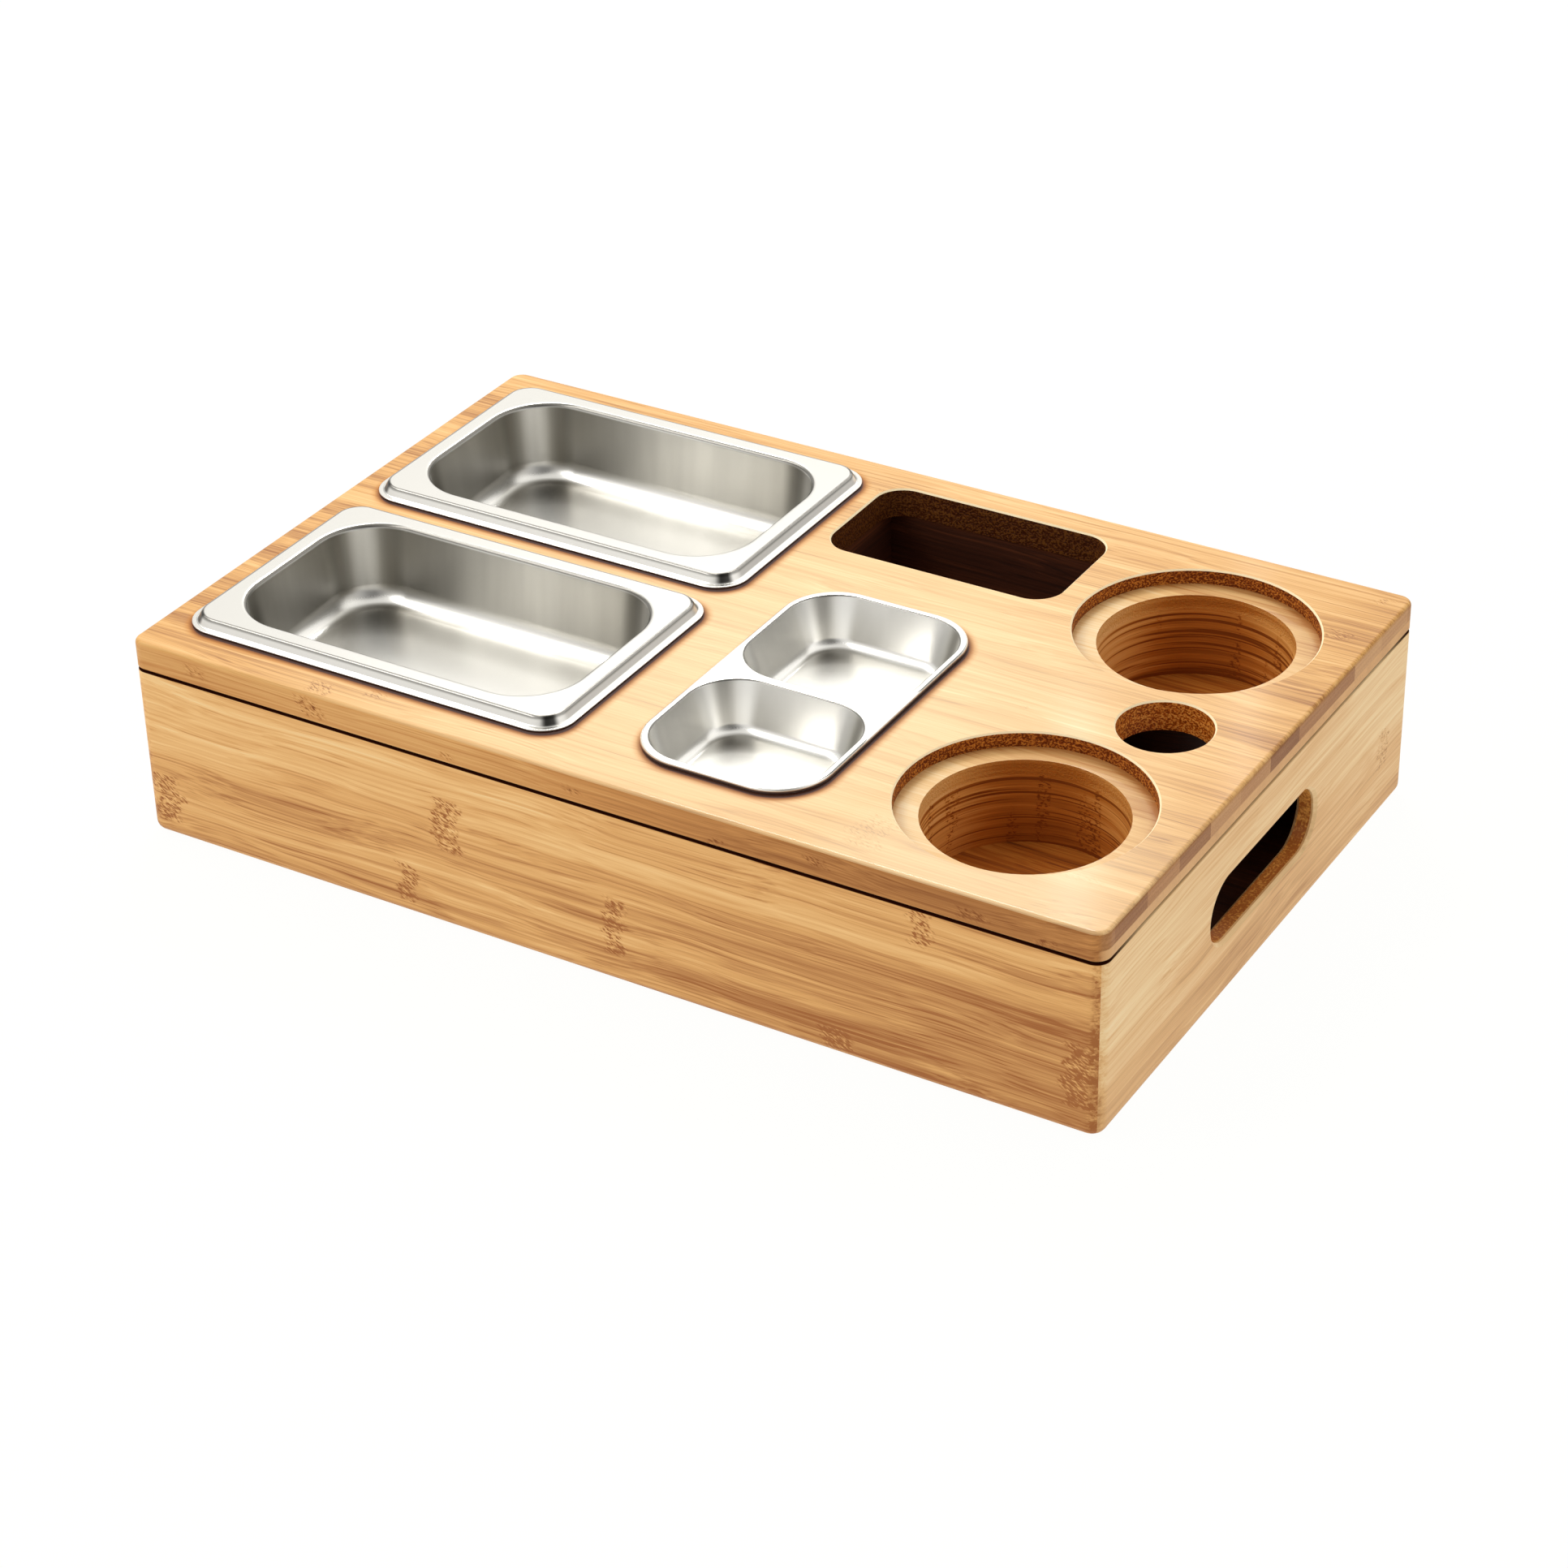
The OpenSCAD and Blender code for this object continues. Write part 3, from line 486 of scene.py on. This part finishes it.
# Cup wells: under each stepped opening of the lid a turned bamboo sleeve, closed below by a disc. Both
# are glued in place and stained deep orange-brown.
def well_finish(name, seed):
    finish = Finish(name)
    spot = finish.place()
    x, y, z = finish.split(spot)
    bands = finish.noise(spot, (150, 150, 2.6), 41.0, 2.0)
    fibres = finish.noise(spot, (40, 40, 0.7), seed + 1.0, 2.0, 0.6)
    lines = finish.noise(spot, (120, 120, 1.4), seed + 2.0, 1.5).fade(0.57, 0.61)
    flecks = finish.noise(spot, (1.6, 1.6, 0.8), seed + 3.0, 2.0, 0.6).fade(0.52, 0.62)
    columns = finish.noise(spot, (9, 9, 50), seed + 4.0, 1.0).fade(0.58, 0.66)
    # Painted shade: each well is darker towards its floor, and painted light and shade lie across its wall.
    depth = z.fade(box_top + 4.0, well_low.z + 5.0)
    tone = (bands * 0.65 + 0.22 + (fibres - 0.5) * 0.5 - lines * 0.42 - flecks * columns * 0.4 - depth * 0.16
            + painted_well_light(x, y))
    colour = finish.ramp(tone, well_tones)
    # Painted shade: the outside of each sleeve, inside the closed box, turns near black.
    outer_shade = axis_distance(x, abs(y), well_x, well_ys[1]).fade(well_r + 2.0, well_r + 3.0)
    colour = finish.mix(outer_shade, colour, finish.ramp(fibres, [(0.3, srgb(34, 15, 6)), (0.7, srgb(60, 28, 11))]))
    return finish.surface(base_color=colour, roughness=0.5, specular_ior_level=0.3,
                          normal=finish.bump(fibres, 0.00012))


cover(well_finish("front_cup_sleeve", 43.0), "front_cup_sleeve")
cover(well_finish("rear_cup_sleeve", 47.0), "rear_cup_sleeve")
floor_tones = [(0.0, srgb(88, 36, 5)), (0.5, srgb(166, 90, 18)), (1.0, srgb(214, 144, 58))]
cover(inner_finish("cup_floor", "x", floor_tones, 51.0), "front_cup_floor", "rear_cup_floor")

# Pocket: four thin bamboo walls and a floor, glued together under the lid's long slot. Their dark tones
# are painted shade for the inside of the pocket.
pocket_shaded_tones = [(0.0, srgb(34, 14, 7)), (0.5, srgb(72, 34, 16)), (1.0, srgb(112, 58, 28))]
cover(inner_finish("pocket_long_walls", "x", pocket_shaded_tones, 55.0), "pocket_front_wall", "pocket_back_wall",
      "pocket_floor")
cover(inner_finish("pocket_short_walls", "y", pocket_shaded_tones, 57.0), "pocket_left_wall", "pocket_right_wall")

# Strips: planed bamboo, left pale. They are screwed under the lid along the inside of the panels and
# keep it in place on the box.
strip_tones = [(0.0, srgb(160, 110, 62)), (0.5, srgb(210, 164, 110)), (1.0, srgb(236, 200, 150))]
cover(inner_finish("long_strips", "x", strip_tones, 61.0), "front_cleat", "back_left_cleat",
      "back_right_cleat")
cover(inner_finish("short_strips", "y", strip_tones, 63.0), "left_cleat", "right_cleat")

# Screws: countersunk wood screws of zinc plated steel. They are driven up through the strips into the
# lid.
finish = Finish("zinc_screws")
grain = finish.noise(finish.place(), (0.8, 0.8, 0.8), 67.0)
cover(finish.surface(base_color=finish.ramp(grain, [(0.3, srgb(150, 150, 148)), (0.7, srgb(206, 206, 202))]),
                     metallic=1.0, roughness=grain * 0.3 + 0.2), "cleat_screws")


# Pans: deep-drawn stainless steel, satin inside and brighter on the flange. The sheet turns out of the
# walls into a flat flange, then steps down over a shoulder to a lip that lies on the lid.
def bent_face(path, bends, offset, steps=8):
    """One face of a bent sheet in section: the path with its bends as arcs, moved offset to the left."""
    points = []
    for i, point in enumerate(path):
        before = (point - path[i - 1]).normalized() if i else None
        after = (path[i + 1] - point).normalized() if i + 1 < len(path) else None
        if before is None or after is None:
            run = after if before is None else before
            points.append(point + offset * Vector((-run.y, run.x)))
            continue
        turn = before.angle_signed(after) * -1
        side = math.copysign(bends[i - 1], turn)
        left = Vector((-before.y, before.x))
        centre = point - before * bends[i - 1] * math.tan(abs(turn) / 2) + side * left
        for k in range(steps + 1):
            c, s = math.cos(turn * k / steps), math.sin(turn * k / steps)
            spoke = Vector((left.x * c - left.y * s, left.x * s + left.y * c))
            points.append(centre - (side - offset) * spoke)
    return points


def ring(size, radius, out, z, middle, steps=20):
    """Rectangle with round corners, whose arcs stand out from the centres that the given radius sets."""
    points = []
    for corner in range(4):
        centre = Vector(((size[0] / 2 - radius) * (1, -1, -1, 1)[corner],
                         (size[1] / 2 - radius) * (1, 1, -1, -1)[corner], 0))
        for k in range(steps + 1):
            angle = (corner + k / steps) * math.pi / 2
            points.append((middle + centre + Vector((out * math.cos(angle), out * math.sin(angle), z))) * mm)
    return points


def skin(mesh_points, faces, loop):
    """Adds a loop of points and a band of faces that joins it to the loop before."""
    first = len(mesh_points)
    mesh_points.extend(loop)
    n = len(loop)
    if first:
        faces.extend([(first - n + k, first + k, first + (k + 1) % n, first - n + (k + 1) % n)
                      for k in range(n)])
    return range(first, first + n)


def steel_piece(name, points, faces, material):
    """An object with smooth shading that stays even where a flat plate meets a bend."""
    mesh = bpy.data.meshes.new(name)
    mesh.from_pydata(points, [], faces)
    mesh.shade_smooth()
    mesh.materials.append(material)
    piece = bpy.data.objects.new(name, mesh)
    bpy.context.scene.collection.objects.link(piece)
    even = piece.modifiers.new("even", "WEIGHTED_NORMAL")
    even.weight, even.keep_sharp = 100, True
    return piece


def steel_finish(name, mouths, rim, shades, streaks, shading, seed):
    """Satin steel. Mouths and rim are outlines given by middle, size and corner radius; shades are the greys
    of walls, floors and flange, and their differences are painted light and shade on one steel; streaks tell
    how far from the middle of each corner, as a share of its quarter turn, a painted highlight and a painted
    dark reflection run up the walls; shading is how much painted shade darkens the walls towards the corners."""
    finish = Finish(name)
    spot = finish.place()
    x, y, _ = finish.split(spot)
    facing_z = finish.facing()[2]
    wall = 1 - facing_z.fade(0.3, 0.85)
    bend = facing_z.fade(0.2, 0.45) * facing_z.fade(0.98, 0.85)
    drawn = finish.noise(spot, (12, 12, 220), seed, 2.0, 0.5)
    fine = finish.noise(spot, (0.7, 0.7, 60), seed + 2.0, 2.0)
    sand = finish.noise(spot, (0.5, 0.5, 0.5), seed + 4.0, 2.0)
    outlines = [outside(x, y, *mouth) for mouth in mouths]
    corner_highlight, corner_dark_reflection, floor_dark_reflection, shaded = 0.0, 0.0, 0.0, 0.0
    for (middle, size, radius), outline in zip(mouths, outlines):
        past_x, past_y = past_straights(x, y, middle, size, radius)
        from_diagonal = abs(past_y.angle(past_x) / (math.pi / 2) - 0.5)
        corner = (past_x > 0.0) * (past_y > 0.0) * (outline < 1.0)
        shaded = past_x.least(past_y).fade(-size[1] * 0.5, 4.0) * (outline < 1.0) + shaded
        # Painted reflection: a soft dark patch on the floor near its back left corner.
        patch = axis_distance(x, y, middle.x - size[0] / 2 + 18, middle.y + size[1] / 2 - 15)
        floor_dark_reflection = patch.fade(size[1] * 0.34, -8.0) + floor_dark_reflection
        # Painted reflections: a bright streak and a dark streak up each corner of the walls.
        corner_highlight = corner * abs(from_diagonal - streaks[0]).fade(0.2, 0.03) + corner_highlight
        corner_dark_reflection = corner * abs(from_diagonal - streaks[1]).fade(0.2, 0.02) + corner_dark_reflection
    from_mouth = outlines[0] if len(outlines) == 1 else outlines[0].least(outlines[1])
    from_rim = outside(x, y, *rim)
    plate = from_mouth.fade(0.0, 1.0)
    # Painted shade: a dark line along the bend at the mouth, and on a pan along the shoulder too.
    crease_shade = (from_mouth > -0.5) * (from_mouth < 2.4) * facing_z.fade(0.45, 0.6) * facing_z.fade(0.96, 0.88)
    if len(mouths) == 1:
        past_x, past_y = past_straights(x, y, *rim)
        from_diagonal = abs(past_y.angle(past_x) / (math.pi / 2) - 0.5)
        corner = (past_x > 0.0) * (past_y > 0.0) * from_diagonal.fade(0.24, 0.08)
        # Painted reflection: a dark spot on the shoulder at each corner of a pan.
        shoulder_dark_reflection = corner * from_rim.fade(-5.0, -4.2) * from_rim.fade(-1.4, -2.6)
        crease_shade = crease_shade.most(from_rim.fade(-5.1, -4.5) * from_rim.fade(-3.2, -3.8))
    # The greys of walls, floors and flange differ as painted light and shade on one steel.
    walls, floors, flange = (srgb(grey, grey - 2, grey - 8) for grey in shades)
    colour = finish.mix(plate, finish.mix(wall, floors, walls), flange)
    colour = finish.mix((drawn - 0.5) * wall * 0.7 + 0.1 * wall, colour, srgb(150, 147, 140))
    # Painted highlight: the floor bends turn near white.
    colour = finish.mix(bend * (from_mouth < 0.0) * 0.8, colour, srgb(250, 248, 242))
    colour = finish.mix(floor_dark_reflection * (1 - wall) * (1 - bend) * (from_mouth < 0.0) * 0.85, colour, srgb(76, 70, 56))
    colour = finish.mix(shaded * wall * shading, colour, srgb(104, 97, 82))
    colour = finish.mix(corner_dark_reflection * wall * 0.5, colour, srgb(84, 78, 64))
    colour = finish.mix(corner_highlight * wall * 0.9, colour, srgb(255, 254, 250))
    # Painted highlight: the sloped and upright faces of the rim outside the mouth turn near white.
    colour = finish.mix((from_mouth > 2.4) * facing_z.fade(0.95, 0.9), colour, srgb(248, 246, 240))
    colour = finish.mix(crease_shade * 0.7, colour, srgb(74, 69, 60))
    if len(mouths) == 1:
        colour = finish.mix(shoulder_dark_reflection * 0.9, colour, srgb(34, 32, 27))
    rough = 0.25 + wall * 0.09 + (drawn - 0.5) * 0.08 * wall + (sand - 0.5) * 0.05
    return finish.surface(base_color=colour, metallic=1.0, roughness=rough,
                          normal=finish.bump(drawn * wall * 0.08 + fine * wall * 0.03 + sand * 0.02, 0.0001))


pan_flange, pan_corner_r, pan_lip_r, pan_brim_bend, pan_floor_bend = 11.4, 24.0, 13.0, 2.0, 8.0
pan_lean, pan_depth, flange_h, pan_sheet = 3.5, 27.0, 4.1, 0.8
lip_w, shoulder_run, shoulder_bend, edge_round = 2.1, 1.9, 1.1, 0.35


def pan(name, seed):
    low, high = (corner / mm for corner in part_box(name))
    middle = Vector(((low.x + high.x) / 2, (low.y + high.y) / 2, lid_top))
    size = (high.x - low.x, high.y - low.y)
    opening = (size[0] - 2 * pan_flange, size[1] - 2 * pan_flange)
    bowl = [Vector(p) for p in ((2, -pan_depth), (pan_corner_r - pan_lean, -pan_depth),
                                (pan_corner_r, flange_h), (pan_corner_r + pan_brim_bend, flange_h))]
    rim = [Vector(p) for p in ((pan_lip_r - lip_w - shoulder_run - 2 * shoulder_bend, flange_h),
                               (pan_lip_r - lip_w - shoulder_run, flange_h), (pan_lip_r - lip_w, pan_sheet),
                               (pan_lip_r - edge_round, pan_sheet))]
    lip = [Vector((pan_lip_r - edge_round + edge_round * math.sin(a * math.pi / 8),
                   pan_sheet - edge_round + edge_round * math.cos(a * math.pi / 8))) for a in (1, 2, 3, 4)]
    points, faces = [], []
    upper = [(opening, pan_corner_r, p) for p in bent_face(bowl, (pan_floor_bend, pan_brim_bend), 0)]
    upper += [(size, pan_lip_r, p) for p in bent_face(rim, (shoulder_bend, shoulder_bend), 0) + lip]
    rim[-1].x = pan_lip_r
    lower = [(opening, pan_corner_r, p) for p in bent_face(bowl, (pan_floor_bend, pan_brim_bend), -pan_sheet)]
    lower += [(size, pan_lip_r, p) for p in bent_face(rim, (shoulder_bend, shoulder_bend), -pan_sheet)]
    for outline, radius, p in upper + lower[::-1]:
        loop = skin(points, faces, ring(outline, radius, p.x, p.y, middle))
    n = len(loop)
    faces.append(tuple(range(n)))
    faces.append(tuple(reversed(loop)))
    material = steel_finish(name, [(middle, opening, pan_corner_r)], (middle, size, pan_lip_r),
                            (234, 198, 196), (0.0, 0.3), 0.4, seed)
    piece = steel_piece(name + "_steel", points, faces, material)
    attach(piece, name)
    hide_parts(name)


pan("front_pan", 71.0)
pan("rear_pan", 73.0)

# Twin dish: thinner stainless steel, drawn into two compartments with a narrow bridge between them. Its
# rim is turned down and rests on the lid.
dish_low, dish_high = (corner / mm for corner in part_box("twin_dish"))
dish_rim_side, dish_rim_end, dish_bridge, bridge_shift = 2.6, 2.9, 4.4, 3.0
dish_rim_r, dish_corner_r, rim_h, dish_depth, dish_lean = 21.5, 19.5, 1.9, 16.5, 6.5
dish_floor_bend, dish_brim_bend, dish_sheet = 5.0, 0.9, 0.6
dish_size = (dish_high.x - dish_low.x, dish_high.y - dish_low.y)
dish_middle = Vector(((dish_low.x + dish_high.x) / 2, (dish_low.y + dish_high.y) / 2, lid_top))
points, faces = [], []
edge = [Vector(p) for p in ((dish_rim_r - dish_brim_bend - 0.3, rim_h), (dish_rim_r, rim_h), (dish_rim_r, 0))]
start = None
for p in bent_face(edge, (dish_brim_bend,), 0) + bent_face(edge, (dish_brim_bend,), -dish_sheet)[::-1]:
    loop = skin(points, faces, ring(dish_size, dish_rim_r, p.x, p.y, dish_middle))
    start = start or loop
webs = [[list(start)], [list(loop)]]
mouths = []
for side in (-1, 1):
    length = (dish_size[1] - dish_bridge) / 2 - dish_rim_end + side * bridge_shift
    middle = dish_middle + Vector((0, side * (length + dish_bridge) / 2 - bridge_shift, 0))
    opening = (dish_size[0] - 2 * dish_rim_side, length)
    mouths.append((middle, opening, dish_corner_r))
    bowl = [Vector(p) for p in ((2, -dish_depth), (dish_corner_r - dish_lean, -dish_depth),
                                (dish_corner_r, rim_h), (dish_corner_r + dish_brim_bend, rim_h))]
    bends = (dish_floor_bend, dish_brim_bend)
    for face, web, flip in ((bent_face(bowl, bends, 0), webs[0], False),
                            (bent_face(bowl, bends, -dish_sheet), webs[1], True)):
        shell_points, shell_faces = [], []
        for p in face:
            loop = skin(shell_points, shell_faces, ring(opening, dish_corner_r, p.x, p.y, middle))
        n = len(loop)
        first = len(points)
        shell_faces.append(tuple(range(n)))
        points.extend(shell_points)
        faces.extend([tuple(first + k for k in (reversed(f) if flip else f)) for f in shell_faces])
        web.append([first + k for k in loop])
for web in webs:
    corners = [k for loop in web for k in loop]
    for face in tessellate_polygon([[points[k] for k in loop] for loop in web]):
        a, b, c = (points[corners[k]] for k in face)
        upward = (b - a).cross(c - a).z > 0
        face = [corners[k] for k in face]
        faces.append(tuple(face if upward == (web is webs[0]) else face[::-1]))
material = steel_finish("twin_dish", mouths, (dish_middle, dish_size, dish_rim_r), (248, 196, 206),
                        (0.3, 0.0), 0.05, 77.0)
dish = steel_piece("twin_dish_steel", points, faces, material)
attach(dish, "twin_dish")
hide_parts("twin_dish")

# Studio: a plain white floor in a white surround that is darker on the near right and low on the far
# right. Two broad lights stand on the left, and two narrow ones behind the tray put soft streaks of gloss
# on the lid's right end.
floor_half = 6.0
mesh = bpy.data.meshes.new("floor")
mesh.from_pydata([(-floor_half, -floor_half, 0), (floor_half, -floor_half, 0), (floor_half, floor_half, 0),
                  (-floor_half, floor_half, 0)], [], [(0, 1, 2, 3)])
finish = Finish("floor")
glow = finish.node("ShaderNodeEmission", inputs={"Color": (1.0, 1.0, 0.985, 1), "Strength": 0.97})
plain = finish.node("ShaderNodeBsdfDiffuse", inputs={"Color": (0.035, 0.035, 0.035, 1)})
both = finish.node("ShaderNodeAddShader", inputs={0: glow, 1: plain})
finish.node("ShaderNodeOutputMaterial", inputs={"Surface": both})
mesh.materials.append(finish.material)
floor = bpy.data.objects.new("floor", mesh)
bpy.context.scene.collection.objects.link(floor)
floor.location.z = -0.0004

world = bpy.data.worlds.new("studio")
bpy.context.scene.world = world
world.use_nodes = True
studio = Finish("studio", world.node_tree)
heading = studio.node("ShaderNodeTexCoord", output="Generated")


def toward(direction):
    return studio.node("ShaderNodeVectorMath", {"operation": "DOT_PRODUCT"},
                       {0: heading, 1: tuple(Vector(direction).normalized())}, output="Value")


height = studio.split(heading)[2]
room = toward((0.64, -0.46, 0.62)).fade(0.78, 0.96)
skirt = toward((0.69, 0.72, 0.0)).fade(0.5, 0.9) * height.fade(0.32, 0.14)
screen = toward((-0.28, 0.77, 0.57)).fade(0.78, 0.99)
wall = toward((-0.30, 0.90, 0.30)).fade(0.3, 0.9)
side = toward((0.85, 0.25, 0.46)).fade(0.6, 0.95) * height.fade(0.15, 0.35)
strength = (0.78 - room * 0.66 - skirt * 0.62 - height.fade(0.2, 0.08) * 0.1 + wall * 0.3 + screen * 0.42
            + side * 0.4)
seen = studio.node("ShaderNodeLightPath", output="Is Camera Ray")
light = studio.node("ShaderNodeBackground", inputs={"Color": (1.0, 0.99, 0.97, 1),
                                                    "Strength": strength * (1 - seen) + seen})
studio.node("ShaderNodeOutputWorld", inputs={"Surface": light})


def softbox(name, place, aim, size, power):
    lamp = bpy.data.lights.new(name, "AREA")
    lamp.shape, lamp.size, lamp.size_y, lamp.energy = "RECTANGLE", size[0], size[1], power
    box = bpy.data.objects.new(name, lamp)
    box.matrix_world = (Matrix.Translation(place)
                        @ (Vector(place) - Vector(aim)).to_track_quat("Z", "Y").to_matrix().to_4x4())
    bpy.context.scene.collection.objects.link(box)


softbox("key", (-0.557, 0.915, 1.27), (0, 0, 0.08), (0.5, 0.34), 8)
softbox("overhead", (-0.835, -0.35, 1.25), (-0.1, 0, 0.06), (1.6, 0.4), 8)
softbox("near_strip", (-0.4505, 1.1610, 1.0314), (0.181, -0.112, 0.0825), (0.03, 0.3), 0.23)
softbox("far_strip", (-0.4007, 1.3584, 0.9639), (0.188, 0.01, 0.0825), (0.022, 0.26), 0.11)
